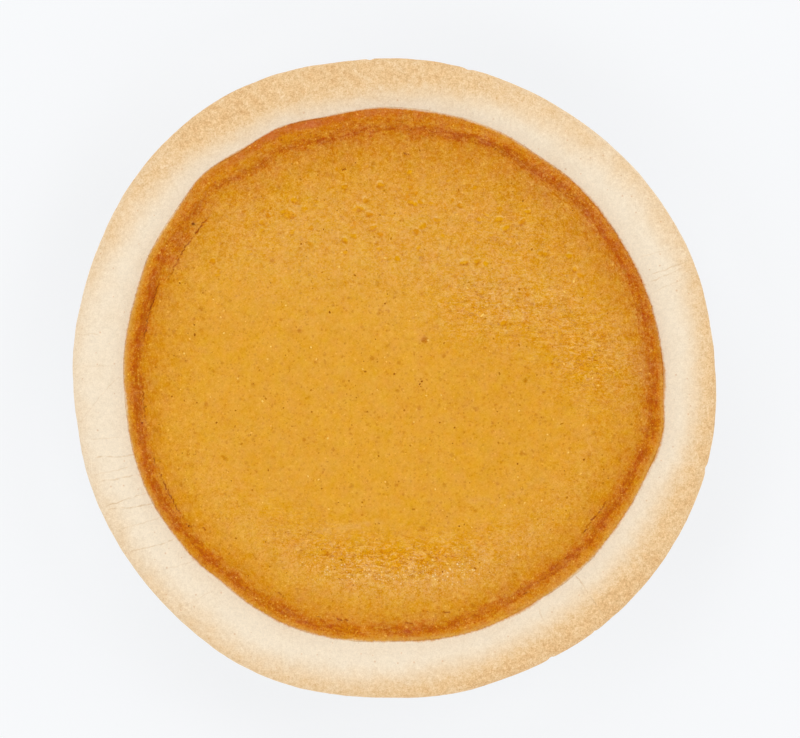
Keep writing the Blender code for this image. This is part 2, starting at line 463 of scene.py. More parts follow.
class Paint:
    """A Principled material in the making. Each method adds a node and gives back its output."""

    def __init__(self, name, sockets):
        self.material = bpy.data.materials.new(name)
        self.material.use_nodes = True
        self.tree = self.material.node_tree
        self.shader = self.tree.nodes["Principled BSDF"]
        self.where = self.add("ShaderNodeTexCoord").outputs["Object"]
        for socket, value in sockets.items():
            self.put(self.shader.inputs[socket], value)

    def put(self, socket, value):
        if isinstance(value, bpy.types.NodeSocket):
            self.tree.links.new(value, socket)
        else:
            socket.default_value = value

    def add(self, kind, inputs=(), **settings):
        node = self.tree.nodes.new(kind)
        for setting, value in settings.items():
            setattr(node, setting, value)
        for socket, value in dict(inputs).items():
            self.put(node.inputs[socket], value)
        return node

    def field(self, name):
        return self.add("ShaderNodeAttribute", attribute_name=name).outputs["Fac"]

    def math(self, operation, first, second=0.0, third=0.0):
        return self.add("ShaderNodeMath", {0: first, 1: second, 2: third}, operation=operation).outputs[0]

    def times(self, first, second):
        return self.math("MULTIPLY", first, second)

    def plus(self, first, second):
        return self.math("ADD", first, second)

    def added(self, base, value, weight):
        """The base with a value times a weight added."""
        return self.math("MULTIPLY_ADD", value, weight, base)

    def vector(self, operation, first, second, third=(0.0, 0.0, 0.0)):
        """Maths on three numbers at once. A single number stands for three equal ones."""
        inputs = {0: first, 1: second, 2: third}
        return self.add("ShaderNodeVectorMath", inputs, operation=operation).outputs["Vector"]

    def rise(self, value, low, high, start=0.0, end=1.0):
        """A smooth step from start at low to end at high."""
        inputs = {"Value": value, "From Min": low, "From Max": high, "To Min": start, "To Max": end}
        return self.add("ShaderNodeMapRange", inputs, interpolation_type="SMOOTHSTEP").outputs["Result"]

    def near(self, value, reach, full):
        """From 0 where the value is at least the reach away from 0 to 1 where it is nearer than full."""
        return self.rise(self.math("ABSOLUTE", value), reach, full)

    def ringwise(self, stretch):
        """Places in which a pattern is drawn out along the custard's edge, this many times."""
        split = self.add("ShaderNodeSeparateXYZ", {0: self.where}).outputs
        x = self.times(split["X"], 1.0 / stretch)
        y = self.times(split["Y"], 1.0 / stretch)
        inset = self.times(self.field("inset"), MM)
        return self.add("ShaderNodeCombineXYZ", {"X": x, "Y": y, "Z": inset}).outputs["Vector"]

    def noise(self, size, detail=0.0, seed=0.0, warp=0.0, stretch=1.0, where=None):
        """Smooth noise from about -1 to 1, with lumps of this size, stretched along X."""
        where = where or self.where
        if stretch != 1.0:
            where = self.vector("MULTIPLY", where, (1.0 / stretch, 1.0, 1.0))
        inputs = {"Vector": where, "W": seed, "Scale": 1.0 / size, "Detail": detail, "Distortion": warp}
        found = self.add("ShaderNodeTexNoise", inputs, noise_dimensions="4D").outputs["Fac"]
        return self.added(-2.0, found, 4.0)

    def hues(self, size, strength):
        """Three channels of a colour, each from about -1 to 1, that vary on their own."""
        inputs = {"Vector": self.where, "W": 51.0, "Scale": 1.0 / size, "Detail": 2.0, "Roughness": 0.7}
        found = self.add("ShaderNodeTexNoise", inputs, noise_dimensions="4D").outputs["Color"]
        found = self.vector("MULTIPLY_ADD", found, (4.0, 4.0, 4.0), (-2.0, -2.0, -2.0))
        return self.vector("MULTIPLY", found, strength)

    def shaken(self, size, reach):
        """Places shaken about, so that round spots come out irregular."""
        inputs = {"Vector": self.where, "Scale": 1.0 / size, "Detail": 1.0}
        found = self.add("ShaderNodeTexNoise", inputs).outputs["Color"]
        return self.vector("MULTIPLY_ADD", found, (reach, reach, reach), self.where)

    def spots(self, spacing, radius, share, seed=0.0, dimensions="2D", where=None):
        """Scattered round spots of about this radius, in this share of cells of this size: 1 in a spot.

        They are spread over the plane of the pie's top, or with 3D in space, where the surface cuts some.
        """
        place = self.vector("ADD", where or self.where, (31 * MM * seed, 17 * MM * seed, 11 * MM * seed))
        inputs = {"Vector": place, "Scale": 1.0 / spacing}
        cells = self.add("ShaderNodeTexVoronoi", inputs, voronoi_dimensions=dimensions)
        lot = self.add("ShaderNodeSeparateColor", {"Color": cells.outputs["Color"]}).outputs
        size = self.added(0.55 * radius / spacing, lot["Green"], 0.9 * radius / spacing)
        away = self.math("DIVIDE", cells.outputs["Distance"], size)
        return self.times(self.rise(away, 1.25, 0.35), self.math("LESS_THAN", lot["Red"], share))

    def ramp(self, value, stops):
        """A colour along (place, colour) stops."""
        node = self.add("ShaderNodeValToRGB", {"Fac": value})
        elements = node.color_ramp.elements
        while len(elements) < len(stops):
            elements.new(1.0)
        for element, (place, colour) in zip(elements, stops):
            element.position = place
            element.color = shown(colour)
        return node.outputs["Color"]

    def mix(self, share, first, second, **settings):
        """Two colours put together, each an output or a colour as it looks."""
        node = self.add("ShaderNodeMix", data_type="RGBA", **settings)
        self.put(node.inputs[0], share)
        for socket, colour in ((node.inputs[6], first), (node.inputs[7], second)):
            self.put(socket, colour if isinstance(colour, bpy.types.NodeSocket) else shown(colour))
        return node.outputs[2]

    def over(self, colour, tint, share, strength):
        """A colour with a tint over a share of it, faded by a strength."""
        return self.mix(self.times(share, strength), colour, tint)

    def scaled(self, colour, level):
        """A colour made lighter or darker by a varying level, 1 for no change."""
        return self.mix(1.0, colour, level, blend_type="MULTIPLY")

    def grained(self, colour, grain, hues):
        """A colour made lighter and paler, or darker and deeper, by a grain round 0, and varied in hue."""
        tint = self.vector("MULTIPLY_ADD", hues, HUE_SHIFT, self.vector("MULTIPLY", grain, PALING))
        return self.vector("MULTIPLY_ADD", colour, self.plus(grain, 1.0), tint)

    def finish(self, colour, relief, roughness=None):
        """Sets the colour and the relief in millimetres, and gives back the material."""
        self.put(self.shader.inputs["Base Color"], colour)
        bump = self.add("ShaderNodeBump", {"Height": relief, "Distance": MM, "Strength": 1.0})
        self.put(self.shader.inputs["Normal"], bump.outputs["Normal"])
        if roughness is not None:
            self.put(self.shader.inputs["Roughness"], roughness)
        return self.material


def hairline(paint, layer, half_width):
    """1 along the middle of this layer's cracks in the rim, broken in places and faded by their strength."""
    crooked = paint.added(paint.field(f"crack_{layer}"), paint.noise(1.4 * MM, 1.0, seed=20.0), 0.2)
    line = paint.near(crooked, half_width, 0.1 * half_width)
    broken = paint.rise(paint.noise(2.6 * MM, 1.0, seed=21.0), -0.9, 0.5, 0.15, 1.0)
    return paint.times(paint.times(line, broken), paint.field(f"crack_strength_{layer}"))


def strokes(paint, half_width):
    """1 in the chains of short slanted strokes that the foot cracks are, faded by their strength."""
    shake = paint.noise(4.5 * MM, 1.0, seed=20.0)
    strokes_along = paint.added(paint.times(paint.field("crack_along"), MM / STROKE_LENGTH), shake, 0.7)
    step = paint.plus(paint.math("FRACT", strokes_along), -0.5)
    away = paint.added(paint.field("crack_away"), step, STROKE_LEAN / MM)
    away = paint.added(away, paint.noise(1.3 * MM, 1.5, seed=22.0), 0.34)
    line = paint.near(away, half_width, 0.2 * half_width)
    ends = paint.near(step, 0.5, 0.44)
    broken = paint.rise(paint.noise(1.9 * MM, 1.0, seed=21.0), -0.9, 0.3)
    return paint.times(paint.times(line, ends), paint.times(broken, paint.field("crack_strength")))


def custard_share(paint):
    """From 0 on the pastry to 1 on the custard, with small soft teeth between. Both materials use it."""
    shake = paint.plus(paint.noise(0.6 * MM, 1.0, seed=40.0), paint.noise(1.5 * MM, 1.0, seed=41.0))
    inset = paint.math("DIVIDE", paint.field("inset"), paint.field("soft_edge"))
    return paint.rise(paint.added(inset, shake, 0.22), -0.85, 0.25)


def pastry_material():
    paint = Paint("baked_pastry", {"Roughness": 0.8, "Specular IOR Level": 0.2, "Sheen Weight": 0.05})
    fine = paint.noise(PASTRY_LUMPS[0], 1.0)
    middle = paint.noise(PASTRY_LUMPS[1], 1.0, seed=3.0)
    coarse = paint.noise(PASTRY_LUMPS[2], 1.0, seed=5.0)
    blotches = paint.noise(PASTRY_LUMPS[3], 1.0, seed=6.0)
    grain = paint.added(fine, middle, 0.7)
    golden = paint.field("golden")
    uneven = paint.added(0.06, golden, 0.2)
    shade = paint.added(golden, uneven, paint.added(grain, coarse, 0.6))
    shade = paint.added(shade, blotches, 0.1)
    colour = paint.ramp(paint.times(shade, 0.7), ((0.0, CREAM), (0.7, GOLD), (1.0, DEEP_GOLD)))
    speckled = paint.rise(golden, 0.3, 1.1, 0.0, 0.5)
    colour = paint.over(colour, SPECKLE_TAN, paint.spots(*RIM_SPECKLES, dimensions="3D"), speckled)
    colour = paint.over(colour, SPECKLE_TAN, paint.spots(*RIM_FLECKS, seed=9.0), 0.45)
    cracks = paint.math("MAXIMUM", hairline(paint, 0, 0.36), hairline(paint, 1, 0.36))
    colour = paint.over(colour, CRACK_TAN, cracks, 0.7)
    colour = paint.over(colour, CUSTARD_EDGE, custard_share(paint), 0.9)
    contrast = paint.added(-0.057, golden, -0.036)
    colour = paint.scaled(colour, paint.added(1.0, grain, contrast))
    relief = paint.plus(paint.times(fine, 0.01), paint.times(middle, 0.02))
    return paint.finish(colour, paint.added(relief, cracks, -0.1))


def browned_custard(paint, grain, coarse):
    """The custard's colour by how far it is browned, with its burnt crumbs, its edge and its stains."""
    burnt = paint.field("burnt")
    uneven = paint.added(0.01, burnt, 0.17)
    shade = paint.added(burnt, uneven, paint.added(grain, coarse, 0.6))
    stops = ((0.0, CUSTARD), (0.33, CUSTARD_WARM), (0.62, CUSTARD_BROWNED), (1.0, CUSTARD_BURNT))
    colour = paint.ramp(shade, stops)
    colour = paint.mix(paint.field("golden_edge"), colour, GOLDEN_FOOT)
    colour = paint.mix(paint.field("red_edge"), colour, CUSTARD_RED)
    colour = paint.mix(paint.field("fringe"), colour, CUSTARD_FRINGE)
    browned = paint.rise(burnt, 0.15, 0.7)
    crumbs = paint.times(paint.spots(*CRUMBS, seed=8.0), 0.55)
    colour = paint.over(colour, CRUMB_BROWN, crumbs, browned)
    dust = paint.times(paint.spots(*DUST, seed=12.0), 0.35)
    colour = paint.over(colour, CRUMB_MAUVE, dust, browned)
    colour = paint.over(colour, STAIN_HALO, paint.field("stain"), 0.5)
    return paint.mix(paint.rise(paint.field("stain"), 0.4, 0.9, 0.0, 0.85), colour, SPICE_STAIN)


def patchy(paint):
    """Noise that thins out scattered marks in places."""
    return paint.noise(3.0 * MM, 1.0, seed=33.0)


def skinned_custard(paint, colour, grain):
    """The wrinkled skin: a pale painted sheen, wet golden strands and pools, painted shade and highlights
    beside thin wrinkles, and painted sparkles and glints.
    """
    wet = paint.field("wet")
    wrinkles = paint.noise(SKIN_LUMPS[1], 1.5, seed=30.0, warp=1.4, stretch=3.0)
    fine = paint.noise(SKIN_LUMPS[0], 1.0, seed=31.0, warp=0.4, stretch=2.0)
    wrinkles = paint.added(wrinkles, fine, 0.2)
    deep = paint.noise(SKIN_LUMPS[2], 1.5, seed=32.0, stretch=2.0)
    strands = paint.near(wrinkles, 0.32, 0.1)
    strands = paint.times(strands, paint.rise(deep, -0.8, 0.1))
    pools = paint.rise(deep, 0.1, 0.45)
    golden = paint.math("MAXIMUM", strands, pools)
    colour = paint.over(colour, CUSTARD_WET, golden, paint.times(wet, 0.85))
    # painted shade along one side of each wrinkle
    fold_shade = paint.near(paint.plus(wrinkles, 0.38), 0.13, 0.03)
    colour = paint.over(colour, CUSTARD_FOLD_SHADE, fold_shade, paint.times(wet, 0.6))
    # painted highlight along the other side of each wrinkle
    ridge_highlights = paint.near(paint.plus(wrinkles, -0.42), 0.16, 0.03)
    colour = paint.over(colour, CUSTARD_RIDGE_HIGHLIGHT, ridge_highlights, paint.times(wet, 0.52))
    # painted sparkles of light on the wet skin
    lights = paint.rise(paint.noise(0.7 * MM, 1.0, seed=34.0, stretch=1.4), 0.35, 0.85)
    colour = paint.over(colour, SHEEN, lights, paint.times(wet, 0.08))
    # painted sheen: a pale haze of reflected light over the skin
    painted_sheen = paint.rise(paint.added(fine, grain, 0.9), 1.2, -1.2)
    colour = paint.over(colour, SHEEN, painted_sheen, paint.times(paint.field("painted_sheen"), 0.08))
    # painted glints: bright specks of light
    glints = paint.spots(*GLINT_SPOTS, seed=5.0, where=paint.shaken(0.5 * MM, 0.6 * MM))
    glints = paint.times(glints, paint.times(paint.field("glints"), paint.rise(patchy(paint), -0.5, 0.3)))
    return paint.over(colour, GLINT, glints, 0.9)


def blistered_custard(paint, colour):
    """Thin wet skin over low bubbles: golden or orange, with a painted highlight on top and painted shade at
    the foot below.
    """
    ragged = paint.added(paint.field("blister"), paint.noise(0.8 * MM, 1.0, seed=7.0), 0.16)
    tone = paint.rise(paint.noise(4 * MM, 1.0, seed=8.0), -0.5, 0.4)
    skin = paint.mix(tone, BLISTER_ORANGE, BLISTER_GOLD)
    colour = paint.mix(paint.rise(ragged, 0.15, 0.6, 0.0, 0.84), colour, skin)
    # painted highlight on the +Y side of each blister and painted shade at its foot on the other side
    side = paint.field("blister_lit_side")
    colour = paint.mix(paint.rise(side, 0.2, 0.8, 0.0, 0.42), colour, BLISTER_HIGHLIGHT)
    return paint.mix(paint.rise(side, -0.15, -0.75, 0.0, 0.56), colour, BLISTER_SHADE)


def spiced_custard(paint, colour):
    """Soft brown specks of spice of four sizes under the skin, in clusters, and fewer pale ones."""
    where = paint.shaken(0.9 * MM, 0.9 * MM)
    clusters = paint.rise(paint.noise(6 * MM, 1.5, seed=60.0), -0.7, 0.5, 0.45, 1.25)
    for spacing, radius, share, strength in SOFT_SPECKS:
        specks = paint.spots(spacing * MM, radius * MM, share, seed=spacing, where=where)
        colour = paint.over(colour, SPICE_STAIN, paint.times(specks, clusters), strength)
    for spacing, radius, share, strength in PALE_SPECKS:
        specks = paint.spots(spacing * MM, radius * MM, share, seed=spacing, where=where)
        colour = paint.over(colour, PALE_GRAIN, specks, strength)
    return colour


def marked_custard(paint, colour, cracks, threads, ringwise):
    """Streaks of painted sheen on the skin, dashes along its edge, cracks and pits, and the pastry past its
    border.
    """
    # painted sheen along thin streaks
    sheen_streak = paint.times(paint.field("sheen_streak"), paint.rise(patchy(paint), -0.7, 0.4))
    colour = paint.over(colour, SHEEN, sheen_streak, 0.05)
    dashes = paint.spots(*DASHES, seed=6.0, dimensions="3D", where=ringwise)
    colour = paint.over(colour, SPICE_STAIN, dashes, threads)
    colour = paint.over(colour, CRACK_ORANGE, strokes(paint, 0.8), 0.6)
    colour = paint.over(colour, CRACK_BROWN, cracks, 0.9)
    colour = paint.mix(paint.rise(paint.field("pit"), 0.3, 0.8, 0.0, 0.8), colour, PIT_BROWN)
    pastry_share = paint.math("SUBTRACT", 1.0, custard_share(paint))
    return paint.over(colour, PASTRY_EDGE, pastry_share, 0.85)


def custard_material():
    paint = Paint("pumpkin_custard", {"Specular IOR Level": 0.14, "IOR": 1.4})
    fine = paint.noise(CUSTARD_LUMPS[0], 1.0)
    middle = paint.noise(CUSTARD_LUMPS[1], 1.0, seed=2.0, warp=0.6)
    coarse = paint.noise(CUSTARD_LUMPS[2], 1.5, seed=4.0)
    blotches = paint.noise(CUSTARD_LUMPS[3], 2.0, seed=9.0)
    grain = paint.added(middle, fine, 1.2)
    busy = paint.field("busy")
    colour = browned_custard(paint, grain, coarse)
    colour = spiced_custard(paint, colour)
    colour = skinned_custard(paint, colour, grain)
    colour = blistered_custard(paint, colour)
    ringwise = paint.ringwise(3.0)
    threads = paint.field("threads")
    cracks = strokes(paint, 0.34)
    colour = marked_custard(paint, colour, cracks, paint.times(threads, 0.55), ringwise)
    mottle = paint.added(paint.times(grain, busy), coarse, 0.5)
    mottle = paint.added(paint.plus(mottle, paint.field("dim")), blotches, 0.35)
    drawn = paint.noise(0.6 * MM, 1.0, seed=50.0, where=ringwise)
    mottle = paint.added(mottle, paint.times(drawn, threads), 2.0)
    hues = paint.hues(HUE_LUMPS, paint.added(0.7, busy, 0.4))
    colour = paint.grained(colour, paint.times(mottle, -0.043), hues)
    relief = paint.plus(paint.times(fine, 0.003), paint.times(middle, 0.01))
    relief = paint.added(paint.times(relief, busy), cracks, -0.05)
    return paint.finish(colour, relief, paint.added(0.42, middle, 0.05))


def foil_material():
    paint = Paint("foil", {"Metallic": 1.0})
    brushed = paint.noise(1.2 * MM, 3.0)
    dull = paint.noise(14 * MM, 2.0, seed=2.0)
    # painted shade in the flutes' valleys and on the stamped ring
    shade = paint.added(1.0, paint.field("painted_crease_shade"), -0.42)
    colour = paint.scaled(FOIL_GREY, paint.added(shade, dull, 0.03))
    relief = paint.plus(paint.times(brushed, 0.006), paint.times(paint.noise(6 * MM, 1.0), 0.03))
    return paint.finish(colour, relief, paint.added(0.27, dull, 0.05))


def fleck_material(name, dark, light, roughness):
    """Ground spice or grain, mottled between two colours."""
    paint = Paint(name, {"Specular IOR Level": 0.08})
    patches = paint.noise(4 * MM, 2.0)
    grain = paint.noise(0.2 * MM, 1.0, seed=2.0)
    colour = paint.mix(paint.rise(patches, -0.5, 0.3), dark, light)
    colour = paint.scaled(colour, paint.added(1.0, grain, 0.06))
    return paint.finish(colour, paint.times(grain, 0.01), paint.added(roughness, grain, 0.05))


# ---------------------------------------------------------------- custard


def foot_crack_fields(skin, inset):
    """Each point's distance from the nearest foot crack and along it, in mm, and the crack's strength."""
    away = np.full(inset.shape, 9.0)
    way = np.zeros(inset.shape)
    strength = np.zeros(inset.shape)
    wander = 0.5 * lumps(skin.points * (1, 1, 0), 5 * MM, 2, seed=11)
    for start_angle, start, end_angle, end, crack_strength in FOOT_CRACKS:
        share = (skin.angle - start_angle) / (end_angle - start_angle)
        gap = inset / MM - (start + (end - start) * np.clip(share, 0.0, 1.0)) + wander
        inside = rise(share, -0.1, 0.1) * rise(share, 1.1, 0.9) * bell(gap, 0.0, 1.6)
        nearer = inside > strength
        away = np.where(nearer, gap, away)
        way = np.where(nearer, np.radians(skin.angle - start_angle) * skin.radius / MM, way)
        strength = np.where(nearer, crack_strength * inside, strength)
    return away, way, strength


def custard_rings():
    """The rings of the custard, from its underside up and in to the middle. Their extra is the inset."""
    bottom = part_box("filling")[0].z
    sections = cad_sections("filling", nearest=40 * MM, lowest=25 * MM, centre=(50 * MM, -500 * MM))
    edge = sections[:, 0, 0]
    zone = np.arange(0.0, CUSTARD_EDGE_ZONE, CUSTARD_EDGE_STEP)
    inward = 1.0 - np.arange(CUSTARD_MIDDLE_RINGS, 0, -1) / CUSTARD_MIDDLE_RINGS
    lines = []
    for section in sections:
        section = np.vstack((section, (0.0, section[-1, 1])))
        rest = line_length(section) - CUSTARD_EDGE_ZONE
        lines.append(curve_at(section, np.concatenate((zone, CUSTARD_EDGE_ZONE + rest * inward))))
    lines = np.array(lines)
    counts = [CUSTARD_EDGE_POINTS] * len(zone) + [6 * k for k in range(CUSTARD_MIDDLE_RINGS, 0, -1)]
    rings = [flat_ring(0.0, bottom, 1, FAR_INSET), flat_ring(0.9 * CUSTARD_FOOT_RADIUS, bottom, CAD_ANGLES)]
    rings.append(flat_ring(CUSTARD_FOOT_RADIUS, bottom + CUSTARD_FOOT_RISE, CAD_ANGLES))
    reach = np.column_stack((edge + CUSTARD_REACH, sections[:, 0, 1], edge * 0.0 - CUSTARD_REACH))
    rings.append(round_ring(reach, CUSTARD_EDGE_POINTS))
    for i, count in enumerate(counts):
        rings.append(round_ring(np.column_stack((lines[:, i], edge - lines[:, i, 0])), count))
    rings.append(flat_ring(0.0, lines[:, -1, 1].mean(), 1, edge.mean()))
    return rings


def drawn_out(skin, inset, stretch):
    """Places in which lumps are drawn out along the custard's edge, this many times."""
    return np.column_stack((skin.points[:, 0] / stretch, skin.points[:, 1] / stretch, inset))


def custard_browning(skin, inset):
    """How browned the custard is: a dark band inside the edge, that fades outwards a little and inwards."""
    angle = skin.angle
    spread = skin.points * (1, 1, 0)
    ringwise = drawn_out(skin, inset, 3.0)
    wander = 0.6 * lumps(spread, 8 * MM, 2, seed=1) + 0.55 * lumps(ringwise, 1.1 * MM, 3, seed=2)
    away = inset / MM - lobes(angle, 3.3, DARK_BAND_INSET) + wander
    width = lobes(angle, 1.0, BAND_WIDTH)
    peak = 0.92 * lobes(angle, 1.0, BAND_STRENGTH)
    floor = lobes(angle, 0.42, EDGE_BROWNING)
    outer = floor + (peak - floor) * bell(away, 0.0, 1.6 * width)
    reach = lobes(angle, 9.0, SHADE_LENGTH)
    inner = (peak - 0.5) * bell(away, 0.0, 2.1 * width)
    inner += 0.5 * np.exp(-((np.maximum(away, 0.0) / reach) ** 1.2))
    uneven = 0.25 * lumps(spread, 5 * MM, 1, seed=10) + 0.4 * lumps(ringwise, 1.0 * MM, 2, seed=14)
    clumps = 1.0 + uneven * bell(away, 0.0, 4.0)
    foot = bell(inset / MM, 8.2, 1.6) * lobes(angle, 0.0, FOOT_SHADE)
    return np.where(away < 0.0, outer, inner) * clumps + foot


def patches(points, rows):
    """A field made of soft oval patches of (x, y, half widths along x and y in mm, strength)."""
    total = np.zeros(len(points))
    for x, y, half_width, half_height, strength in rows:
        away = np.hypot((points[:, 0] / MM - x) / half_width, (points[:, 1] / MM - y) / half_height)
        total += strength * bell(away, 0.0, 1.0)
    return total


def arcs(skin, rows):
    """A field made of soft arcs round the middle."""
    total = np.zeros(len(skin.points))
    for middle, spread, radius, half_width, strength in rows:
        away = (skin.angle - middle + 180.0) % 360.0 - 180.0
        total += strength * bell(away, 0.0, spread) * bell(skin.radius / MM, radius, half_width)
    return total


def streaks(points, rows):
    """A field made of thin streaks between two places, a little crooked."""
    total = np.zeros(len(points))
    shaken = points[:, :2] / MM + 1.6 * lumps(points * (1, 1, 0), 7 * MM, 3, seed=18)[:, None]
    for x, y, other_x, other_y, half_width, strength in rows:
        way = np.array((other_x - x, other_y - y))
        gap = shaken - (x, y)
        share = gap @ way / (way @ way)
        away = np.linalg.norm(gap - way * np.clip(share, 0.0, 1.0)[:, None], axis=1)
        total += strength * rise(share, -0.1, 0.2) * rise(share, 1.1, 0.8) * bell(away, 0.0, half_width)
    return total


def custard_relief(skin, inset, wet):
    """The height in mm of the uneven raised edge, the wrinkles and the grain of the custard's skin."""
    spread = skin.points * (1, 1, 0)
    ridge = rise(inset / MM, 0.0, 2.0) * rise(inset / MM, 11.0, 6.0)
    relief = 0.15 * lumps(spread, 22 * MM, 1, seed=3)
    relief += ridge * (0.22 * lumps(spread, 9 * MM, 1, seed=4) + 0.15 * lumps(spread, 1.7 * MM, 3, seed=5))
    relief += wet * 0.11 * lumps(spread * (0.6, 1.0, 1.0), 1.5 * MM, 2, seed=6)
    relief += 0.15 * bell(inset / MM, 0.0, 1.0) * lumps(spread, 1.4 * MM, 2, seed=8)
    return relief + 0.025 * lumps(spread, 2.2 * MM, 1, seed=7)


def blisters(points):
    """Two fields of the blisters: the height, to 1, and the rim, above 0 towards +Y and below 0 opposite, for
    painted highlight and shade.
    """
    draw = np.random.default_rng(31)
    shake = np.column_stack([lumps(points, 1.8 * MM, 2, seed=seed) for seed in (16, 17)])
    shaken = points[:, :2] / MM + 0.4 * shake
    total = np.zeros(len(points))
    side = np.zeros(len(points))
    for x, y, wide, high, count in BLISTER_GROUPS:
        for place in draw.normal((x, y), (wide, high), (count, 2)):
            half_width = draw.uniform(*BLISTER_HALF_WIDTHS)
            stretch = draw.uniform(*BLISTER_STRETCHES)
            turn = draw.uniform(-0.6, 0.6)
            strength = draw.uniform(0.5, 1.0) if math.hypot(*place) < BLISTER_REACH else 0.0
            gap = shaken - place
            u = (gap[:, 0] * math.cos(turn) + gap[:, 1] * math.sin(turn)) / (half_width * stretch)
            v = (gap[:, 1] * math.cos(turn) - gap[:, 0] * math.sin(turn)) / half_width
            away = np.hypot(u, v)
            total = np.maximum(total, strength * rise(away, 1.3, 0.5))
            # the rim's sides, which the material paints as highlight and shade
            side += strength * bell(away, 1.0, 0.4) * v
    return total, side


def edge_fields(skin, inset):
    """The looks of the custard's edge."""
    angle = skin.angle
    shaken = inset / MM + 0.5 * lumps(drawn_out(skin, inset, 3.0), 1.2 * MM, 2, seed=15)
    fringe = bell(inset / MM, 0.2, 0.75) * lobes(angle, 0.15, FRINGE)
    golden = bell(inset / MM, 8.5, 3.5) * lobes(angle, 0.0, FOOT_GOLD)
    golden += bell(shaken, 4.6, 1.8) * lobes(angle, 0.0, EDGE_GOLD)
    return {
        "inset": inset / MM + lobes(angle, 0.0, EDGE_SHIFT),
        "burnt": custard_browning(skin, inset) + streaks(skin.points, CREASES),
        "fringe": np.clip(fringe, 0.0, 1.0),
        "red_edge": np.clip(rise(shaken, 3.4, 1.8) * lobes(angle, 0.0, EDGE_RED), 0.0, 1.0),
        "golden_edge": golden + patches(skin.points, DEEP_PATCHES),
        "soft_edge": lobes(angle, 1.0, SOFT_EDGE),
        "threads": bell(inset / MM, 6.5, 5.5) * lobes(angle, 0.6, THREADS),
    }


def middle_fields(skin, inset, wet):
    """The looks of the custard's skin inside its edge."""
    grain = bell(inset / MM, 16.0, 14.0) * lobes(skin.angle, 0.3, EDGE_GRAIN)
    grain += 0.3 * bell(inset / MM, 1.5, 5.0)
    return {
        "busy": 1.0 + grain + 0.95 * wet,
        "dim": rise(skin.radius / MM, 10.0, 40.0) * lobes(skin.angle, 0.12, DIMNESS),
        "wet": wet,
        # painted sheen, painted sheen streaks and painted glints
        "painted_sheen": patches(skin.points, PAINTED_SHEEN_PATCHES) + arcs(skin, PAINTED_SHEEN_ARCS),
        "sheen_streak": streaks(skin.points, SHEEN_STREAKS),
        "glints": patches(skin.points, GLINTS),
        "stain": patches(skin.points, STAINS),
    }


def custard():
    skin = Skin(custard_rings())
    mesh = skin.mesh("custard")
    inset = skin.extra
    top = rise(inset / MM, -0.6, -0.1)
    wet = np.minimum(patches(skin.points, WET_PATCHES) + arcs(skin, WET_ARCS), WET_LIMIT)
    away, way, crack_strength = foot_crack_fields(skin, inset)
    blister, blister_lit_side = blisters(skin.points)
    pit = patches(skin.points, PITS)
    relief = custard_relief(skin, inset, wet) - 0.2 * crack_strength * bell(away, 0.0, 0.6)
    relief += 0.15 * blister - 0.4 * pit
    skin.raised(mesh, relief * top)
    with_fields(mesh, edge_fields(skin, inset))
    with_fields(mesh, middle_fields(skin, inset, wet))
    fields = {
        "pit": pit,
        "blister": blister,
        "blister_lit_side": blister_lit_side,
        "crack_away": away,
        "crack_along": way,
        "crack_strength": crack_strength,
    }
    with_fields(mesh, fields)
    return add_piece("custard", mesh, custard_material(), "custard", "filling")


# ---------------------------------------------------------------- pastry


def pastry_rings():
    """The rings of the pastry, from below its floor, round the rim, to its inside. Their extra is across."""
    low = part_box("crust")[0].z
    centre = (107 * MM, 31.5 * MM)  # inside the rim's section
    sections = cad_sections("crust", nearest=90 * MM, lowest=low + RIM_UNDERSIDE, centre=centre)
    outline = sections[:, :, 0].max(axis=1)
    edge = sections[:, -1, 0]
    lines = []
    for section in sections:
        lines.append(curve_at(section, np.linspace(0.0, line_length(section), RIM_RINGS)))
    lines = np.array(lines)
    across = (outline[:, None] - lines[:, :, 0]) / (outline - edge)[:, None]
    out, up = PASTRY_BASE_BEND
    rings = [flat_ring(0.0, low, 1), flat_ring(PASTRY_BASE_RADIUS, low, CAD_ANGLES)]
    rings.append(flat_ring(PASTRY_BASE_RADIUS + out, low + up, CAD_ANGLES))
    rings.append(flat_ring(PASTRY_WALL_TOP, low + PASTRY_WALL_RISE, CAD_ANGLES, 1.0))
    for i in range(RIM_RINGS):
        rings.append(round_ring(np.column_stack((lines[:, i], across[:, i])), RIM_POINTS))
    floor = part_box("filling")[0].z - CUSTARD_GAP
    wall = edge * 0.85 + PASTRY_WALL_FOOT * 0.15
    wall = np.column_stack((wall, np.full(CAD_ANGLES, PASTRY_INNER_HEIGHT), np.ones(CAD_ANGLES)))
    rings.append(round_ring(wall, CAD_ANGLES))
    rings.append(flat_ring(PASTRY_WALL_FOOT, floor + PASTRY_FLOOR_BEND, CAD_ANGLES, 1.0))
    rings.append(flat_ring(0.94 * PASTRY_WALL_FOOT, floor, CAD_ANGLES, 1.0))
    rings.append(flat_ring(0.0, floor, 1, 1.0))
    return rings


def nearest_cracks(angles, levels, cracks, level_scale):
    """Each point's signed distance in degrees from the nearest crack across the levels, and its strength."""
    away = np.full(angles.shape, 90.0)
    strength = np.zeros(angles.shape)
    for start_angle, start, end_angle, end, crack_strength in cracks:
        share = np.clip((levels - start) / (end - start), 0.0, 1.0)
        middle = start_angle + (end_angle - start_angle) * share
        gap = (angles - middle + 180.0) % 360.0 - 180.0
        faded = rise(levels, start - level_scale, start) * rise(levels, end + level_scale, end)
        nearer = np.abs(gap) < np.abs(away)
        away = np.where(nearer, gap, away)
        strength = np.where(nearer, crack_strength * faded, strength)
    return away, strength


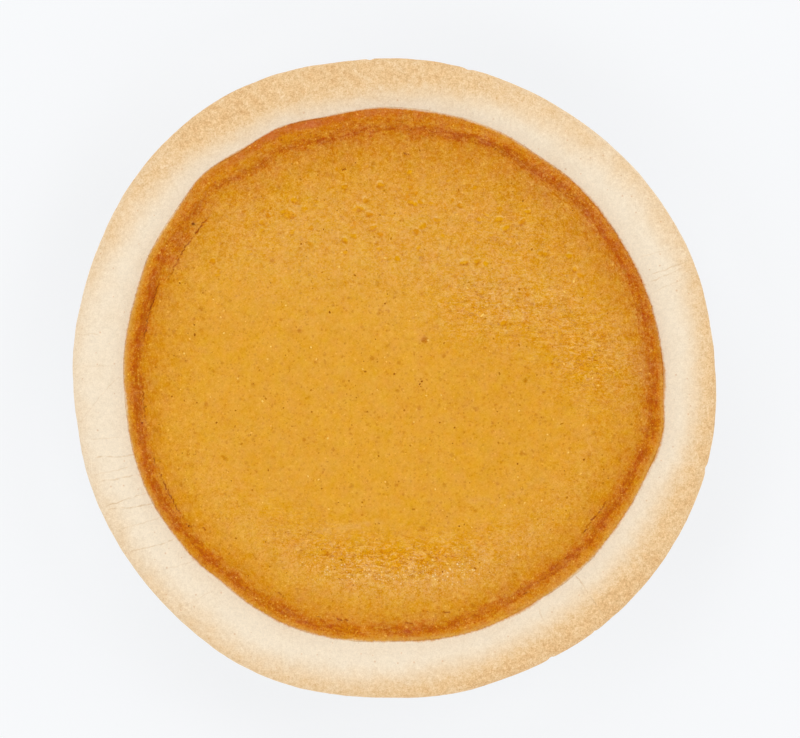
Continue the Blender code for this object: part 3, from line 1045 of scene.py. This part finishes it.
def rim_crack_fields(skin, across, on_rim):
    """Each layer's distance in mm from its nearest crack, and the crack's strength."""
    fields = {}
    for layer in range(CRACK_LAYERS):
        gap, strength = nearest_cracks(skin.angle, across, RIM_CRACKS[layer::CRACK_LAYERS], 0.12)
        away = np.radians(gap) * skin.radius / MM
        away += 0.5 * lumps(skin.points, 4 * MM, 2, seed=12 + layer)
        fields[f"crack_{layer}"] = away
        fields[f"crack_strength_{layer}"] = strength * bell(away, 0.0, 2.0) * on_rim
    return fields


def pastry():
    skin = Skin(pastry_rings())
    mesh = skin.mesh("pastry")
    across = skin.extra
    angle = skin.angle
    on_rim = rise(skin.height / MM, 29.0, 30.0)
    relief = 0.16 * (lumps(skin.points, 8 * MM, 2, seed=1) - 0.4)
    relief += 0.05 * (lumps(skin.points, 1.3 * MM, 3, seed=2) - 0.6)
    for middle, half_width, depth in RIM_NICKS:
        gap = (angle - middle + 180.0) % 360.0 - 180.0
        relief -= depth * bell(gap, 0.0, half_width) * rise(across, 0.2, 0.0)
    skin.raised(mesh, relief * on_rim)
    strength = lobes(angle, 0.75, GOLD_STRENGTH)
    reach = lobes(angle, 0.28, GOLD_REACH)
    golden = strength * rise(across, reach + 0.4, reach - 0.3)
    golden = np.maximum(golden, 0.6 * rise(across, 0.05, 0.0))
    fields = {
        "golden": golden,
        "inset": ((across - 1.0) * RIM_WIDTH - CUSTARD_GAP) / MM + lobes(angle, 0.0, EDGE_SHIFT),
        "soft_edge": lobes(angle, 1.0, SOFT_EDGE),
    }
    with_fields(mesh, fields)
    with_fields(mesh, rim_crack_fields(skin, across, on_rim))
    return add_piece("pastry", mesh, pastry_material(), "pastry", "crust")


# ---------------------------------------------------------------- foil tin


def tin_rings():
    """The rings of the tin, up its outer skin, round its rolled edge and down its inner skin."""
    skin = np.array(TIN_SKIN) * MM
    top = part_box("foil_tin")[1].z
    centre = np.array((ROLL_CENTRE_RADIUS, top - ROLL_RADIUS))
    turns = np.radians(np.arange(-150, 121, 30))
    roll = centre + ROLL_RADIUS * np.column_stack((np.cos(turns), np.sin(turns)))
    length = line_length(skin)
    knots = np.concatenate(([0.0], np.cumsum(np.linalg.norm(np.diff(skin, axis=0), axis=1))))
    stations = np.linspace(0.0, length, int(length / TIN_STEP))
    outer = np.column_stack([np.interp(stations, knots, skin[:, axis]) for axis in (0, 1)])
    side = np.gradient(outer, axis=0)
    side /= np.linalg.norm(side, axis=1)[:, None]
    inner = outer + FOIL * np.column_stack((-side[:, 1], side[:, 0]))
    rings = [flat_ring(0.0, 0.0, 1)]
    for line in (outer, roll, inner[::-1]):
        rings += [flat_ring(radius, height, TIN_POINTS) for radius, height in line]
    rings.append(flat_ring(0.0, FOIL, 1))
    return rings


def tin():
    skin = Skin(tin_rings())
    phase = FLUTES * skin.turn + 1.1 * lumps(skin.points * (1, 1, 0), 26 * MM, 1, seed=4)
    fluted = rise(skin.height / MM, 2.5, 9.0) * rise(skin.height / MM, 28.4, 26.0)
    depth = FLUTE_DEPTH / MM * (1.0 + 0.35 * lumps(skin.points, 12 * MM, 1, seed=6))
    ridge = 1.0 - np.sqrt(1.0 - FLUTE_SHARPNESS + FLUTE_SHARPNESS * np.sin(phase / 2) ** 2)
    out = fluted * depth * ridge * MM
    flat = np.column_stack((np.cos(skin.turn), np.sin(skin.turn), -0.35 * np.ones(len(out))))
    skin.points = skin.points + out[:, None] * flat
    mesh = skin.mesh("tin")
    # painted shade: darker in the flutes' valleys and on the base's stamped ring
    stamped_ring_shade = rise(skin.height / MM, 0.05, 0.3) * rise(skin.radius / MM, 80.0, 76.0) * 0.5
    with_fields(mesh, {"painted_crease_shade": fluted * rise(ridge, 0.75, 0.1) + stamped_ring_shade})
    return add_piece("tin", mesh, foil_material(), "foil", "foil_tin")


# ---------------------------------------------------------------- flecks on the custard


def dome(draw, place, normal, size, thickness):
    """The points and faces of one low irregular dome that lies on a surface."""
    side = normal.orthogonal().normalized()
    other = normal.cross(side)
    length = draw.uniform(1.0, 1.6)
    turned = draw.uniform(0, 2 * math.pi)
    points = []
    for height, width in FLECK_PROFILE:
        for step in range(FLECK_SIDES):
            turn = 2 * math.pi * step / FLECK_SIDES
            uneven = 0.1 * math.sin(2 * turn) + 0.08 * math.sin(5 * turn + 5 * turned)
            reach = size / 2 * width * (1.0 + uneven)
            u, v = reach * length * math.cos(turn), reach * math.sin(turn)
            u, v = u * math.cos(turned) - v * math.sin(turned), u * math.sin(turned) + v * math.cos(turned)
            points.append(place + side * u + other * v + normal * (height * thickness))
    points += [place + normal * (FLECK_PROFILE[0][0] * thickness), place + normal * thickness]
    last = (len(FLECK_PROFILE) - 1) * FLECK_SIDES
    faces = []
    for step in range(FLECK_SIDES):
        following = (step + 1) % FLECK_SIDES
        faces.append((step, len(points) - 2, following))
        for level in range(0, last, FLECK_SIDES):
            above = level + FLECK_SIDES
            faces.append((level + step, level + following, above + following, above + step))
        faces.append((last + step, last + following, len(points) - 1))
    return points, faces


def scattered(name, surface, places, sizes, thickness, material, seed):
    """One piece made of domes that lie on the surface at each place. The thickness is a share of the size."""
    draw = np.random.default_rng(seed)
    tree = BVHTree.FromPolygons(
        [vertex.co.copy() for vertex in surface.vertices], [face.vertices[:] for face in surface.polygons]
    )
    points, faces = [], []
    for (x, y), size in zip(places, sizes):
        spot, normal, _, _ = tree.ray_cast(Vector((x, y, 60 * MM)), Vector((0, 0, -1)))
        made, sides = dome(draw, spot, normal, size, thickness * size)
        faces += [tuple(len(points) + index for index in face) for face in sides]
        points += made
    mesh = bpy.data.meshes.new(name)
    mesh.from_pydata(points, [], faces)
    mesh.shade_smooth()
    return add_piece(name, mesh, material, "custard")


def spread_places(draw, count, radius):
    """Even random places within a circle."""
    reach = radius * np.sqrt(draw.uniform(0, 1, count))
    turn = draw.uniform(0, 2 * math.pi, count)
    return np.column_stack((reach * np.cos(turn), reach * np.sin(turn)))


def flecks(surface):
    draw = np.random.default_rng(21)
    spice = spread_places(draw, SPICE_FLECKS, SPICE_REACH)
    sizes = (0.35 + 0.4 * draw.uniform(0, 1, len(spice)) ** 2) * MM
    material = fleck_material("spice", SPICE_DARK, SPICE, 0.7)
    scattered("spice_flecks", surface, spice, sizes, SPICE_THICKNESS, material, 22)
    grains = spread_places(draw, PALE_GRAINS, PALE_GRAIN_REACH)
    sizes = draw.uniform(0.4, 0.75, len(grains)) * MM
    material = fleck_material("pale_grain", PALE_GRAIN, PALE_GRAIN_TIP, 0.5)
    scattered("pale_grains", surface, grains, sizes, PALE_GRAIN_THICKNESS, material, 23)


# ---------------------------------------------------------------- stage, light and camera


def floor():
    mesh = bpy.data.meshes.new("floor")
    corners = [(x * FLOOR_HALF, y * FLOOR_HALF, 0.0) for x, y in ((-1, -1), (1, -1), (1, 1), (-1, 1))]
    mesh.from_pydata(corners, [], [(0, 1, 2, 3)])
    paint = Paint("pale_floor", {"Roughness": 0.8, "Specular IOR Level": 0.1, "Emission Strength": 0.73})
    paint.put(paint.shader.inputs["Base Color"], (0.22, 0.225, 0.235, 1.0))
    paint.put(paint.shader.inputs["Emission Color"], (0.98, 0.99, 1.0, 1.0))
    mesh.materials.append(paint.material)
    stage = bpy.data.objects.new("floor", mesh)
    bpy.context.scene.collection.objects.link(stage)
    stage.location.z = -FLOOR_DROP


def soft_light(name, azimuth, power):
    """A square light aimed at the pie from above, tilted towards an azimuth."""
    light = bpy.data.lights.new(name, "AREA")
    light.energy = power
    light.size = LAMP_SIZE
    lamp = bpy.data.objects.new(name, light)
    bpy.context.scene.collection.objects.link(lamp)
    turn = math.radians(azimuth)
    lean = math.radians(LAMP_TILT)
    way = Vector((math.cos(turn) * math.sin(lean), math.sin(turn) * math.sin(lean), math.cos(lean)))
    lamp.location = way * LAMP_DISTANCE
    lamp.rotation_euler = way.to_track_quat("Z", "Y").to_euler()


def lighting():
    world = bpy.data.worlds.new("studio")
    world.use_nodes = True
    background = world.node_tree.nodes["Background"]
    background.inputs["Color"].default_value = (1.0, 1.0, 1.0, 1.0)
    background.inputs["Strength"].default_value = SKY_LIGHT
    bpy.context.scene.world = world
    for lamp in LAMPS:
        soft_light(*lamp)
    bpy.context.scene.view_settings.view_transform = "Standard"


def camera():
    lens = bpy.data.cameras.new("camera")
    lens.lens = CAMERA_LENS
    lens.sensor_width = 36
    lens.clip_start = 0.01
    viewer = bpy.data.objects.new("camera", lens)
    bpy.context.scene.collection.objects.link(viewer)
    viewer.location = CAMERA_PLACE
    bpy.context.scene.camera = viewer


camera()
lighting()
floor()
tin()
pastry()
flecks(custard().data)
